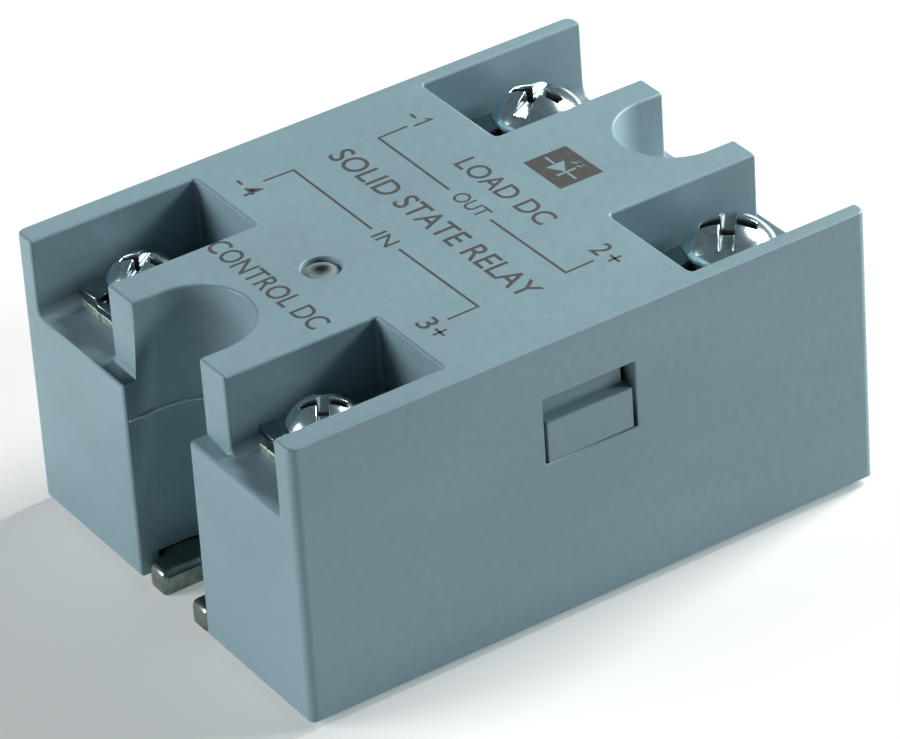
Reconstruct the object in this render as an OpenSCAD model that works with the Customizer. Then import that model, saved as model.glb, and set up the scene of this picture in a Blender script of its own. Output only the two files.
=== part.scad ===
// Solid state relay, puck style.
// A moulded housing snaps over an inner carrier, which is bonded to a metal base plate.
// Two screw terminals stand on a deck at each end, with an open U for a mounting screw between them.
// X is the width, Y the length and Z up. The origin is the middle of the base plate's underside.
// Terminals 1 and 2 are the output pair at +Y, 3 and 4 are the input pair at -Y.

/* [Housing] */
// Length of the housing
housing_l = 60; // [59:0.5:62]
// Width of the housing
housing_w = 45; // [45:0.5:47]
// Height of the housing, from its lower edge to its top
housing_h = 27.9; // [27.5:0.1:30]
// Height of the terminal decks above the housing's lower edge
deck_h = 20.1; // [20:0.1:20.5]
// Thickness of the housing's outer wall around the cavity
wall_t = 1.9; // [1.7:0.1:2.1]
// Thickness of the side walls beside the input terminals
in_side_t = 2.6; // [2.2:0.1:2.8]
// Thickness of the side walls beside the output terminals
out_side_t = 1.7; // [1.5:0.1:2.4]
// Half the width of the tongue between the input terminals
in_tongue = 9.6; // [9.2:0.1:9.8]
// Half the width of the tongue between the output terminals
out_tongue = 8.7; // [8.6:0.1:9.4]
// Distance from the middle to the back wall of the input terminals
in_back = 12.8; // [12.6:0.1:13.2]
// Distance from the middle to the back wall of the output terminals
out_back = 12.1; // [12:0.1:12.6]
// How far each tongue stops short of the housing's end
ledge = 1.9; // [1:0.1:2.2]

/* [Mounting] */
// How far the base plate stands below the housing
plate_proud = 0.6; // [0.4:0.1:0.8]
// Thickness of the base plate
plate_t = 2.5; // [2:0.1:3]
// Distance between the mounting screws
mount_pitch = 47.5; // [47:0.1:48]
// Diameter of the closed mounting hole
mount_hole_d = 4.5; // [4.3:0.1:4.6]
// Width of the open mounting slot
mount_slot_w = 4.4; // [4.3:0.1:4.6]
// Radius of the U in the housing at the input end
in_u_r = 5.55; // [5.3:0.05:5.7]
// Radius of the U in the housing at the output end
out_u_r = 5.35; // [5.2:0.05:5.6]
// Distance from the middle to the centre of each U
u_y = 25.4; // [25.2:0.1:25.8]

/* [Terminals] */
// Distance from the middle to each screw, across the housing
screw_x = 14.75; // [14.7:0.05:14.8]
// Distance from the middle to the input screws, along the housing
in_screw_y = 21.7; // [21.5:0.1:21.9]
// Distance from the middle to the output screws, along the housing
out_screw_y = 20.5; // [20.3:0.1:20.9]
// Head radius of the input screws
in_head_r = 3.3; // [3:0.1:3.4]
// Head radius of the output screws
out_head_r = 4.15; // [3.8:0.05:4.2]
// How far an output screw lifts to open its clamp
out_lift = 3.5; // [2.1:0.7:3.5]
// How far an input screw lifts to open its clamp
in_lift = 3; // [1.8:0.6:3]

/* [Indicator] */
// Diameter of the indicator's lens
led_d = 3.4; // [3:0.1:3.8]
// Distance from the middle to the indicator, across the housing
led_x = 0; // [-0.5:0.1:0.5]
// Distance from the middle to the indicator, towards the input end
led_y = 12.2; // [12:0.1:12.6]

/* [Hidden] */
$fn = 64;

// Small overshoot of a cutting shape, and the gap between neighbouring pieces
over = 1;
gap = 0.1;

// Heights, from the base plate's underside
top_z = plate_proud + housing_h;
deck_z = plate_proud + deck_h;
roof_z = top_z - 2.1;
under_deck_z = deck_z - 2.1;
board_z = 10;
board_t = 1.6;
board_top_z = board_z + board_t;
tile_t = 0.6;
pad_t = 0.3;
pad_z = plate_t + tile_t + pad_t;
potting_z = 8.6;

// Plan of the cavity inside the housing, and of the carrier inside that
cavity_x = housing_w / 2 - wall_t;
cavity_y = housing_l / 2 - 2.05;
u_wall = 1.55;
carrier_t = 1.5;
carrier_x = cavity_x - gap;
carrier_y = cavity_y - gap;
end_wall = 1.6;

// Snap window in each long wall, and the arm and barb that fill it. The arm stands off the middle.
window_w = 9.6;
window_z0 = 16.55;
window_z1 = 23.15;
arm_y = [-5, 4.1];
arm_top_z = 24;
barb_w = 8.9;
barb_top_z = 20.55;
pad_y = [-4.75, 4.1];
pad_out = 0.8;

// Heights of the indicator's dome, body and rim, and how far the dome stays below the top
led_dome = 0.4;
led_body = 4.1;
led_rim = 0.8;
led_sunk = 0.1;
led_z = top_z - led_sunk - led_dome;

// Terminal hardware: [input, output] values
bar_t = [0.9, 1.5];
bar_w = [8.2, 9.2];
bar_reach = [4.2, 4.6];
clamp_half = [4.25, 4.6];
clamp_t = 0.85;
clamp_step = 0.6;
lock_t = [0.5, 0.9];
head_h = [2.7, 3];
head_rim = 0.7;
shank_r = [1.75, 2];
shank_l = [in_lift + 5, out_lift + 6.5];
nut_w = [6, 7];
nut_t = [2.8, 3.2];
screw_fit = 0.05;
leg_w = 5;

// Plan angles that the screws and clamp plates happened to be left at, for terminals 1 to 4
screw_turn = [117, 140, 147, 125];
clamp_turn = [3, -4, 4, -5];

function is_out(n) = n <= 2 ? 1 : 0;
function end_sign(n) = n <= 2 ? 1 : -1;
function side_sign(n) = (n == 2 || n == 3) ? 1 : -1;
function screw_y(n) = is_out(n) == 1 ? out_screw_y : in_screw_y;
function back_y(n) = is_out(n) == 1 ? out_back : in_back;
function tongue_x(n) = is_out(n) == 1 ? out_tongue : in_tongue;
function side_t(n) = is_out(n) == 1 ? out_side_t : in_side_t;
function clamp_z(n) = deck_z + bar_t[is_out(n)] + 0.05;
function lock_z(n) = clamp_z(n) + clamp_t + clamp_step;
function head_z(n) = lock_z(n) + lock_t[is_out(n)] + 0.05;

// Points along a circular arc
function arc(cx, cy, r, from, to, steps) =
    [for (i = [0:steps]) let (a = from + (to - from) * i / steps) [cx + r * cos(a), cy + r * sin(a)]];

// Plan of an end's U: a half circle about [0, u_y] and straight sides out to reach
module u_plan(r, reach, centre = u_y) {
    polygon(concat([[r, reach]], [[-r, reach]], arc(0, centre, r, 180, 360, 32)));
}

// Box given by its low and high corners
module box(low, high) {
    translate(low) cube(high - low);
}

// Place children with the origin on a terminal's screw axis and +Y pointing out of the relay's end
module at_terminal(n) {
    translate([side_sign(n) * screw_x, end_sign(n) * screw_y(n), 0])
        mirror([0, end_sign(n) > 0 ? 0 : 1, 0])
            children();
}

// ---- Housing ----

// Room above one deck, from the tongue to the side wall and out of the end
module terminal_pocket(n) {
    s = side_sign(n);
    e = end_sign(n);
    near = s * tongue_x(n);
    far = s * (housing_w / 2 - side_t(n));
    back = e * back_y(n);
    front = e * (housing_l / 2 + over);
    box([min(near, far), min(back, front), deck_z], [max(near, far), max(back, front), top_z + over]);
}

// Strip cut off each tongue's end, from side wall to side wall
module tongue_end(e) {
    x = housing_w / 2 - (e > 0 ? out_side_t : in_side_t);
    near = e * (housing_l / 2 - ledge);
    far = e * (housing_l / 2 + over);
    box([-x, min(near, far), deck_z], [x, max(near, far), top_z + over]);
}

// Boss under each deck that holds the captive nut
module nut_boss(n) {
    s = side_sign(n);
    e = end_sign(n);
    y = e * screw_y(n);
    near = s * (screw_x - 5);
    far = s * (cavity_x + over);
    box([min(near, far), y - 5.2, deck_z - 8.1], [max(near, far), y + 5.2, deck_z]);
}

// Plan of the space inside the outer walls and around both U walls
module inner_plan(x, y, grow) {
    difference() {
        square([2 * x, 2 * y], center = true);
        u_plan(out_u_r + grow, housing_l);
        mirror([0, 1]) u_plan(in_u_r + grow, housing_l);
    }
}

module cavity() {
    difference() {
        union() {
            translate([0, 0, plate_proud])
                linear_extrude(under_deck_z - plate_proud) inner_plan(cavity_x, cavity_y, u_wall);
            box([-cavity_x, end_wall - in_back, plate_t], [cavity_x, out_back - end_wall, roof_z]);
            box([-7.5, -17.4, plate_t], [7.5, 0, roof_z]);
        }
        for (n = [1:4]) nut_boss(n);
    }
}

module plate_recess() {
    x = cavity_x - 0.15;
    y = cavity_y + gap;
    box([-x, -y, plate_proud - over], [x, y, plate_t + gap]);
}

module nut_nest(n) {
    o = is_out(n);
    w = nut_w[o] / 2 + gap;
    box([-w, -w, deck_z - nut_t[o] - 0.05], [w, w, deck_z + over]);
    translate([0, 0, deck_z - 7.3]) cylinder(r = shank_r[o] + 0.4, h = 6);
}

// Slot that lets a terminal bar through the pocket's back wall
module bar_slot(n) {
    o = is_out(n);
    w = bar_w[o] / 2 + gap;
    wall_y = back_y(n) - screw_y(n);
    box([-w, wall_y - end_wall - over, deck_z - 0.02], [w, wall_y + over, deck_z + bar_t[o] + gap]);
}

module housing() {
    color([0.52, 0.60, 0.63]) difference() {
        box([-housing_w / 2, -housing_l / 2, plate_proud], [housing_w / 2, housing_l / 2, top_z]);
        for (n = [1:4]) terminal_pocket(n);
        for (e = [-1, 1]) tongue_end(e);
        translate([0, 0, -over]) linear_extrude(top_z + 2 * over) u_plan(out_u_r, housing_l);
        translate([0, 0, -over]) linear_extrude(top_z + 2 * over) mirror([0, 1]) u_plan(in_u_r, housing_l);
        cavity();
        plate_recess();
        for (n = [1:4]) at_terminal(n) {
            nut_nest(n);
            bar_slot(n);
        }
        for (s = [-1, 1])
            translate([s * housing_w / 2, 0, (window_z0 + window_z1) / 2])
                cube([2 * wall_t + 1, window_w, window_z1 - window_z0], center = true);
        translate([led_x, -led_y, roof_z - over]) cylinder(d = led_d + 0.2, h = top_z - roof_z + 2 * over);
    }
}

// ---- Carrier and base plate ----

// Snap arm on the +X side, with the flat-topped barb that latches in the housing's window.
// A pad above the barb fills part of the window's depth.
module snap_arm() {
    out = housing_w / 2 - gap;
    face = carrier_x;
    translate([0, arm_y[1], 0]) rotate([90, 0, 0]) linear_extrude(arm_y[1] - arm_y[0])
        polygon([
            [face - carrier_t, plate_t + gap], [face, plate_t + gap], [face, arm_top_z - 0.6],
            [face - 0.6, arm_top_z], [face - carrier_t, arm_top_z]
        ]);
    translate([0, barb_w / 2, 0]) rotate([90, 0, 0]) linear_extrude(barb_w)
        polygon([
            [face - 0.4, window_z0 + 0.05], [out, window_z0 + 0.05], [out, barb_top_z],
            [face, barb_top_z + 0.2], [face - 0.4, barb_top_z + 0.2]
        ]);
    box([face - 0.4, pad_y[0], barb_top_z - 1], [face + pad_out, pad_y[1], window_z1 - 0.05]);
}

module base_carrier() {
    color([0.50, 0.58, 0.61]) union() {
        translate([0, 0, plate_t]) linear_extrude(board_z - plate_t) difference() {
            inner_plan(carrier_x, carrier_y, u_wall + gap);
            inner_plan(carrier_x - carrier_t, carrier_y - carrier_t, u_wall + gap + carrier_t);
        }
        snap_arm();
        mirror([1, 0, 0]) snap_arm();
    }
}

// Outline of the plate: a wide middle with a tab at each end that shows in the U
module plate_plan() {
    x = cavity_x - 0.3;
    y = cavity_y - 0.05;
    tab_x = in_u_r - 0.35;
    tab_y = housing_l / 2 - 0.4;
    r = 1;
    corner = concat(
        arc(x - r, y - r, r, 0, 90, 6),
        [[tab_x, y]], arc(tab_x - r, tab_y - r, r, 0, 90, 6));
    last = len(corner) - 1;
    polygon(concat(
        corner,
        [for (i = [last:-1:0]) [-corner[i][0], corner[i][1]]],
        [for (i = [0:last]) [-corner[i][0], -corner[i][1]]],
        [for (i = [last:-1:0]) [corner[i][0], -corner[i][1]]]));
}

module base_plate() {
    slot_r = mount_slot_w / 2;
    color([0.45, 0.47, 0.45]) difference() {
        linear_extrude(plate_t) plate_plan();
        translate([0, mount_pitch / 2, -over]) cylinder(d = mount_hole_d, h = plate_t + 2 * over);
        translate([0, 0, -over]) linear_extrude(plate_t + 2 * over)
            mirror([0, 1]) u_plan(slot_r, housing_l, mount_pitch / 2);
    }
}

// ---- Power stage on the plate ----

module insulating_tile() {
    color([0.93, 0.93, 0.90])
        box([-18.2, -12, plate_t], [18.2, 13.2, plate_t + tile_t]);
}

module copper_pads() {
    z0 = plate_t + tile_t;
    color([0.80, 0.50, 0.32]) {
        box([-17.8, -11.6, z0], [-0.8, 12.8, pad_z]);
        box([0.8, -2, z0], [17.8, 12.8, pad_z]);
        box([0.8, -11.6, z0], [17.8, -3.2, pad_z]);
    }
}

// Flat transistor package with a heat tab under it
module power_transistor(x) {
    translate([x, -6, pad_z]) color([0.13, 0.13, 0.14]) {
        box([-3.6, -4.2, 0], [3.6, 4.8, 1.3]);
        box([-3.4, -4, 1], [3.4, 4, 4.2]);
    }
}

module power_transistor_1() {
    power_transistor(-13.6);
}

module power_transistor_2() {
    power_transistor(-5.4);
}

module clamp_diode() {
    color([0.15, 0.15, 0.16]) {
        box([5.5, -9.5, pad_z], [13, -4.5, pad_z + 2.4]);
        box([4.4, -8.2, pad_z], [14.1, -5.8, pad_z + 0.8]);
    }
}

// Gel that fills the carrier over the power stage, cut round everything that stands in it
module potting() {
    x = carrier_x - carrier_t - gap;
    y = carrier_y - carrier_t - gap;
    c = 0.05;
    color([0.22, 0.22, 0.24]) difference() {
        translate([0, 0, plate_t]) linear_extrude(potting_z - plate_t)
            inner_plan(x, y, u_wall + 2 * gap + carrier_t);
        box([-18.2 - c, -12 - c, plate_t - over], [18.2 + c, 13.2 + c, pad_z + c]);
        for (px = [-13.6, -5.4])
            box([px - 3.6 - c, -10.2 - c, pad_z - c], [px + 3.6 + c, -1.2 + c, pad_z + 4.2 + c]);
        box([4.4 - c, -9.5 - c, pad_z - c], [14.1 + c, -4.5 + c, pad_z + 2.4 + c]);
        for (n = [1:2]) at_terminal(n) {
            leg_y = back_y(n) - end_wall - screw_y(n);
            box([-leg_w / 2 - c, leg_y - 4.4 - c, pad_z - c],
                [leg_w / 2 + c, leg_y - 0.1 + c, potting_z + over]);
        }
    }
}

// ---- Control board ----

module circuit_board() {
    color([0.10, 0.36, 0.20]) difference() {
        box([-carrier_x + 0.6, -16.2, board_z], [carrier_x - 0.6, 16.2, board_top_z]);
        for (s = [-1, 1])
            box([s * carrier_x - carrier_t - 0.2, arm_y[0] - 0.3, board_z - over],
                [s * carrier_x + carrier_t + 0.2, arm_y[1] + 0.3, board_top_z + over]);
        for (n = [1:2]) at_terminal(n) {
            leg_y = back_y(n) - end_wall - screw_y(n);
            box([-leg_w / 2 - 0.2, leg_y - 1.6, board_z - over], [leg_w / 2 + 0.2, leg_y + 0.2, board_top_z + over]);
        }
        for (n = [3:4]) at_terminal(n)
            translate([0, back_y(n) - end_wall - 0.1 - bar_t[0] / 2 - screw_y(n), board_z - over])
                cylinder(r = 0.85, h = board_t + 2 * over);
        for (s = [-1, 1])
            translate([led_x + s * 1.27, -led_y, board_z - over]) cylinder(r = 0.45, h = board_t + 2 * over);
    }
}

// Surface mounted package of a given size with leads along its two long sides
module chip(size, leads, pitch) {
    translate([-size[0] / 2, -size[1] / 2, 0.15]) cube([size[0], size[1], size[2] - 0.15]);
    for (s = [-1, 1], i = [0:leads - 1]) {
        x = (i - (leads - 1) / 2) * pitch;
        y0 = s * (size[1] / 2 - 0.2);
        y1 = s * (size[1] / 2 + 1);
        box([x - 0.25, min(y0, y1), 0], [x + 0.25, max(y0, y1), 0.5]);
    }
}

module optocoupler() {
    color([0.92, 0.92, 0.88]) translate([1, -1, board_top_z]) chip([9, 6.4, 3.4], 3, 2.54);
}

module driver_chip() {
    color([0.12, 0.12, 0.13]) translate([-9, 4.5, board_top_z]) chip([5, 4, 1.7], 4, 1.27);
}

module smoothing_capacitor() {
    color([0.15, 0.18, 0.35]) translate([-9.5, -5.5, board_top_z]) {
        cylinder(d = 5, h = 8.6);
        translate([0, 0, 8.4]) cylinder(d = 4.2, h = 0.5);
    }
}

module input_resistors() {
    color([0.55, 0.70, 0.78]) for (y = [-7, -3.4])
        translate([8.6, y, board_top_z + 1.15]) rotate([0, 90, 0]) {
            cylinder(d = 2, h = 5.8);
            cylinder(d = 2.2, h = 1.1);
            translate([0, 0, 4.7]) cylinder(d = 2.2, h = 1.1);
        }
}

module input_diode() {
    color([0.16, 0.16, 0.17]) {
        box([8.8, 2, board_top_z], [13.2, 4.6, board_top_z + 2.1]);
        box([8, 2.6, board_top_z], [14, 4, board_top_z + 0.6]);
    }
}

// Clear lens with a shallow dome and a rim below it
module indicator_lens() {
    r = led_d / 2;
    ball = (r * r + led_dome * led_dome) / (2 * led_dome);
    color([0.85, 0.90, 0.88]) translate([led_x, -led_y, led_z]) {
        intersection() {
            cylinder(r = r + over, h = led_dome + over);
            translate([0, 0, led_dome - ball]) sphere(ball);
        }
        translate([0, 0, -led_body]) cylinder(r = r, h = led_body);
        translate([0, 0, -led_body - led_rim]) cylinder(r = r + 0.4, h = led_rim);
    }
}

module indicator_leads() {
    z1 = led_z - led_body - led_rim;
    color([0.75, 0.75, 0.73]) for (s = [-1, 1])
        translate([led_x + s * 1.27, -led_y, 0])
            box([-0.25, -0.25, board_z - 0.8], [0.25, 0.25, z1]);
}

// ---- Terminals ----

// Tinned bar on the deck, then down inside the housing: to the board for an input, to a copper pad for an output
module terminal_bar(n) {
    o = is_out(n);
    t = bar_t[o];
    leg_y = back_y(n) - end_wall - screw_y(n) - 0.1;
    out_y = bar_reach[o];
    color([0.72, 0.72, 0.62]) at_terminal(n) difference() {
        union() {
            box([-bar_w[o] / 2, leg_y - t, deck_z], [bar_w[o] / 2, out_y, deck_z + t]);
            if (o == 1) {
                box([-leg_w / 2, leg_y - t, pad_z], [leg_w / 2, leg_y, deck_z + t]);
                box([-leg_w / 2, leg_y - 4, pad_z], [leg_w / 2, leg_y, pad_z + t]);
            } else {
                box([-leg_w / 2, leg_y - t, board_top_z + 1.5], [leg_w / 2, leg_y, deck_z + t]);
                box([-0.5, leg_y - t, board_z - 0.8], [0.5, leg_y, board_top_z + 2]);
            }
        }
        translate([0, 0, deck_z - over]) cylinder(r = shank_r[o] + 0.25, h = t + 2 * over);
    }
}

module terminal_nut(n) {
    o = is_out(n);
    w = nut_w[o] / 2;
    color([0.78, 0.78, 0.76]) at_terminal(n) difference() {
        box([-w, -w, deck_z - nut_t[o]], [w, w, deck_z]);
        translate([0, 0, deck_z - nut_t[o] - over]) cylinder(r = shank_r[o] + screw_fit, h = nut_t[o] + 2 * over);
    }
}

// Square plate with a shallow channel pressed along it, which grips the wire
module clamp_plate(n) {
    o = is_out(n);
    w = clamp_half[o];
    c = 1.6;
    z1 = clamp_step;
    z2 = clamp_t;
    color([0.42, 0.45, 0.47]) at_terminal(n) rotate([0, 0, clamp_turn[n - 1] * -end_sign(n)])
        translate([0, 0, clamp_z(n)]) difference() {
            translate([0, w, 0]) rotate([90, 0, 0]) linear_extrude(2 * w)
                polygon([
                    [-w, z1], [-c - 0.3, z1], [-c, 0], [c, 0], [c + 0.3, z1], [w, z1],
                    [w, z1 + z2], [c, z1 + z2], [c - 0.3, z2], [0.3 - c, z2], [-c, z1 + z2], [-w, z1 + z2]
                ]);
            translate([0, 0, -over]) cylinder(r = shank_r[o] + 0.2, h = clamp_t + 3 * over);
        }
}

// Split spring washer
module lock_washer(n) {
    o = is_out(n);
    r = shank_r[o];
    color([0.60, 0.62, 0.64]) at_terminal(n) translate([0, 0, lock_z(n)]) difference() {
        cylinder(r = r + 1.55, h = lock_t[o]);
        translate([0, 0, -over]) cylinder(r = r + 0.15, h = lock_t[o] + 2 * over);
        rotate([0, 0, 35]) box([r - 0.5, -0.2, -over], [r + 3, 0.2, lock_t[o] + over]);
    }
}

// Round-headed screw with a full slot crossed by a shorter one
module terminal_screw(n) {
    o = is_out(n);
    r = o == 1 ? out_head_r : in_head_r;
    h = head_h[o];
    dome = h - head_rim;
    ball = (r * r + dome * dome) / (2 * dome);
    slot_w = 0.3 * r;
    color([0.80, 0.82, 0.84]) translate([side_sign(n) * screw_x, end_sign(n) * screw_y(n), head_z(n)])
        difference() {
            union() {
                intersection() {
                    cylinder(r = r, h = h);
                    translate([0, 0, h - ball]) sphere(ball, $fn = 128);
                }
                translate([0, 0, -shank_l[o]]) cylinder(r = shank_r[o], h = shank_l[o] + 0.3);
            }
            rotate([0, 0, screw_turn[n - 1]]) {
                box([-r - over, -slot_w / 2, h - 1.3], [r + over, slot_w / 2, h + over]);
                box([-slot_w / 2, -0.58 * r, h - 1.6], [slot_w / 2, 0.58 * r, h + over]);
            }
        }
}

module terminal_bar_1() { terminal_bar(1); }
module terminal_bar_2() { terminal_bar(2); }
module terminal_bar_3() { terminal_bar(3); }
module terminal_bar_4() { terminal_bar(4); }
module terminal_nut_1() { terminal_nut(1); }
module terminal_nut_2() { terminal_nut(2); }
module terminal_nut_3() { terminal_nut(3); }
module terminal_nut_4() { terminal_nut(4); }
module clamp_plate_1() { clamp_plate(1); }
module clamp_plate_2() { clamp_plate(2); }
module clamp_plate_3() { clamp_plate(3); }
module clamp_plate_4() { clamp_plate(4); }
module lock_washer_1() { lock_washer(1); }
module lock_washer_2() { lock_washer(2); }
module lock_washer_3() { lock_washer(3); }
module lock_washer_4() { lock_washer(4); }
module terminal_screw_1() { terminal_screw(1); }
module terminal_screw_2() { terminal_screw(2); }
module terminal_screw_3() { terminal_screw(3); }
module terminal_screw_4() { terminal_screw(4); }

housing();
base_carrier();
base_plate();
insulating_tile();
copper_pads();
power_transistor_1();
power_transistor_2();
clamp_diode();
potting();
circuit_board();
optocoupler();
driver_chip();
smoothing_capacitor();
input_resistors();
input_diode();
indicator_lens();
indicator_leads();
terminal_bar_1();
terminal_bar_2();
terminal_bar_3();
terminal_bar_4();
terminal_nut_1();
terminal_nut_2();
terminal_nut_3();
terminal_nut_4();
clamp_plate_1();
clamp_plate_2();
clamp_plate_3();
clamp_plate_4();
lock_washer_1();
lock_washer_2();
lock_washer_3();
lock_washer_4();
terminal_screw_1();
terminal_screw_2();
terminal_screw_3();
terminal_screw_4();
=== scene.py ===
# %% [markdown]
# # A solid state relay: its looks, built round the packed frame
# The relay is a moulded block with two screw terminals at each end. The packed model is the fixed
# frame: it says where each piece is and how it moves. Each cell below takes one piece or one
# finish, says what it is on the real object, and then makes it in the frame's own coordinates.

# %% Load the frame
import math

import bmesh
import bpy
import numpy as np
from mathutils import Matrix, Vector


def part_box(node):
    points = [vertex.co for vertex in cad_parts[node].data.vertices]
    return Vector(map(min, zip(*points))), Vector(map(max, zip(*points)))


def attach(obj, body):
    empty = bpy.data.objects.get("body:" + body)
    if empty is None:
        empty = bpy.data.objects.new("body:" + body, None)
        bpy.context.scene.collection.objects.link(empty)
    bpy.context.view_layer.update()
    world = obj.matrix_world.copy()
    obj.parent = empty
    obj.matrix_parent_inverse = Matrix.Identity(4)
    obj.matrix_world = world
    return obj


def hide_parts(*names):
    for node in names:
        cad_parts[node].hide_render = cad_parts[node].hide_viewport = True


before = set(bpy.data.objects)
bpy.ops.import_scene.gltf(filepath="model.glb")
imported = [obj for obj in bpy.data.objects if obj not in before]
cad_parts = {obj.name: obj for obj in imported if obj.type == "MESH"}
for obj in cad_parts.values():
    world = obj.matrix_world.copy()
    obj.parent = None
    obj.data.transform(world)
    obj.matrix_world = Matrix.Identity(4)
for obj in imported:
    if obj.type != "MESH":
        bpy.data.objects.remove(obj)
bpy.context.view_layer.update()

MM = 0.001

# %% [markdown]
# ## The measures that the pieces share
# Everything is placed from the boxes of the CAD nodes. The housing's box gives the outer faces, the
# lens gives the indicator's place, and each terminal is found from its screw and its bar. The few
# numbers that a box can't give, such as the depth of a pocket, are written here once, in millimetres.

# %% Shared measures
def box_mm(node):
    """A CAD node's lowest and highest corners, in millimetres."""
    low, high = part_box(node)
    return np.array(low) / MM, np.array(high) / MM


house_low, house_high = box_mm("housing")
half_w, half_l = house_high[0], house_high[1]
bottom_z, top_z = house_low[2], house_high[2]
lens_low, lens_high = box_mm("indicator_lens")
lens_x, lens_y = (lens_low + lens_high)[:2] / 2
TERMINALS = (1, 2, 3, 4)
INPUT_BAR_T = 0.9
deck_z = box_mm("terminal_bar_3")[1][2] - INPUT_BAR_T
U_CENTRE = 25.4
U_RADIUS = {1: 5.35, -1: 5.55}
TONGUE = {1: 8.7, -1: 9.6}
BACK_WALL = {1: 12.1, -1: 12.8}
SIDE_WALL = {1: 1.7, -1: 2.6}
LEDGE = 1.9
print("deck at", round(deck_z, 2), "top at", round(top_z, 2))
print("lens at", round(lens_x, 2), round(lens_y, 2))

# %% [markdown]
# ## Camera
# The camera stands a little under half a metre away, high over the corner between the input end and
# one long side, with a long lens, so parallel edges stay nearly parallel. It is held slightly
# turned, as a hand-held product picture is. Depth of field stays off.

# %% Camera
AZIMUTH, ELEVATION, ROLL = math.radians(58.361), math.radians(32.880), math.radians(4.160)
CAMERA_AIM = np.array([0.564, -0.245, 13.309])
CAMERA_DISTANCE = 477.974
CAMERA_LENS = 215.314


def camera_axes(azimuth, elevation, roll):
    """Right, up and back unit vectors of a camera that looks at its aim.

    Back points from the aim to the camera. Right starts level and square to back, upright is back
    times right, and the roll turns both round back.
    """
    back = np.array([math.sin(azimuth) * math.cos(elevation),
                     -math.cos(azimuth) * math.cos(elevation), math.sin(elevation)])
    level = np.array([math.cos(azimuth), math.sin(azimuth), 0.0])
    upright = np.cross(back, level)
    right = math.cos(roll) * level - math.sin(roll) * upright
    return right, np.cross(back, right), back


camera_data = bpy.data.cameras.new("camera")
camera_data.lens = CAMERA_LENS
camera_data.sensor_width = 36
camera_data.clip_start, camera_data.clip_end = 0.01, 20
camera = bpy.data.objects.new("camera", camera_data)
bpy.context.scene.collection.objects.link(camera)
right, up, back = camera_axes(AZIMUTH, ELEVATION, ROLL)
place = np.eye(4)
place[:3, :3] = np.array([right, up, back]).T
place[:3, 3] = (CAMERA_AIM + CAMERA_DISTANCE * back) * MM
camera.matrix_world = Matrix(place.tolist())
bpy.context.scene.camera = camera
print("camera at", np.round(place[:3, 3] / MM, 1), "mm, with a", CAMERA_LENS, "mm lens")

# %% [markdown]
# ## Studio
# A product picture of a pale plastic part is lit by large soft sources. One panel stands off the
# input end and lights the end faces as brightly as the top. Three more stand behind the output
# end, one low, one high and one to the right, and lay a broad sheen over the top. The long side
# gets only what passes by and what the pale floor throws back, so it reads a step darker. The room
# is a faint blue-white that is seen in reflections but lights no surface.

# %% Studio lights, floor and room
scene = bpy.context.scene
scene.view_settings.view_transform = "Standard"
scene.view_settings.look = "None"
PANEL_AIM = np.array([0.0, 0.0, 12.0])


def panel_light(name, position, size, watts, colour=(1.0, 1.0, 1.0)):
    """A rectangular area light, placed and sized in millimetres, that faces the relay.

    Its local Z points from the aim to the light, its X is upright times Z, so that it lies level,
    and its Y is Z times X.
    """
    data = bpy.data.lights.new(name, "AREA")
    data.shape = "RECTANGLE"
    data.size, data.size_y = size[0] * MM, size[1] * MM
    data.energy = watts
    data.color = colour
    light = bpy.data.objects.new(name, data)
    bpy.context.scene.collection.objects.link(light)
    away = np.array(position, float) - PANEL_AIM
    away /= np.linalg.norm(away)
    side = np.cross([0.0, 0.0, 1.0], away)
    side /= np.linalg.norm(side)
    turn = np.eye(4)
    turn[:3, :3] = np.array([side, np.cross(away, side), away]).T
    turn[:3, 3] = np.array(position, float) * MM
    light.matrix_world = Matrix(turn.tolist())


WARM = (1.0, 0.965, 0.93)
panel_light("end_panel", (-180, -420, 170), (220, 180), 1.80)
panel_light("rear_panel", (0, 420, 200), (160, 130), 1.40, WARM)
panel_light("high_rear_panel", (0, 380, 320), (150, 120), 2.15, WARM)
panel_light("right_rear_panel", (220, 380, 240), (120, 100), 1.0, (0.88, 0.96, 1.0))

world = bpy.data.worlds.new("room")
world.use_nodes = True
room = world.node_tree.nodes["Background"]
room.inputs["Color"].default_value = (0.78, 0.94, 1.0, 1)
room.inputs["Strength"].default_value = 0.16
world.cycles_visibility.diffuse = False
scene.world = world

# %% [markdown]
# ## A small language for finishes
# Every finish is a node material. Shader sums read best as ordinary Python sums, so one class wraps
# a socket and overloads the operators, and one method adds any other node. Colours go through Mix
# nodes, because a Math node would turn them grey. Fine pattern scales are given in millimetres.

# %% The finish language
class Wire:
    """One output socket of a finish. Sums on wires add Math nodes and give a new wire."""

    def __init__(self, finish, socket):
        self.finish, self.socket = finish, socket

    def maths(self, operation, *values):
        return self.finish.node("ShaderNodeMath", {"operation": operation}, dict(enumerate(values)))

    def __add__(self, other):
        return self.maths("ADD", self, other)

    __radd__ = __add__

    def __mul__(self, other):
        return self.maths("MULTIPLY", self, other)

    __rmul__ = __mul__

    def __sub__(self, other):
        return self.maths("SUBTRACT", self, other)

    def __rsub__(self, other):
        return self.maths("SUBTRACT", other, self)

    def step(self, low, high):
        """0 below low, 1 above high and smooth between them."""
        return self.finish.node("ShaderNodeMapRange", {"interpolation_type": "SMOOTHSTEP"},
                                {"Value": self, "From Min": low, "From Max": high})


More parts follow.
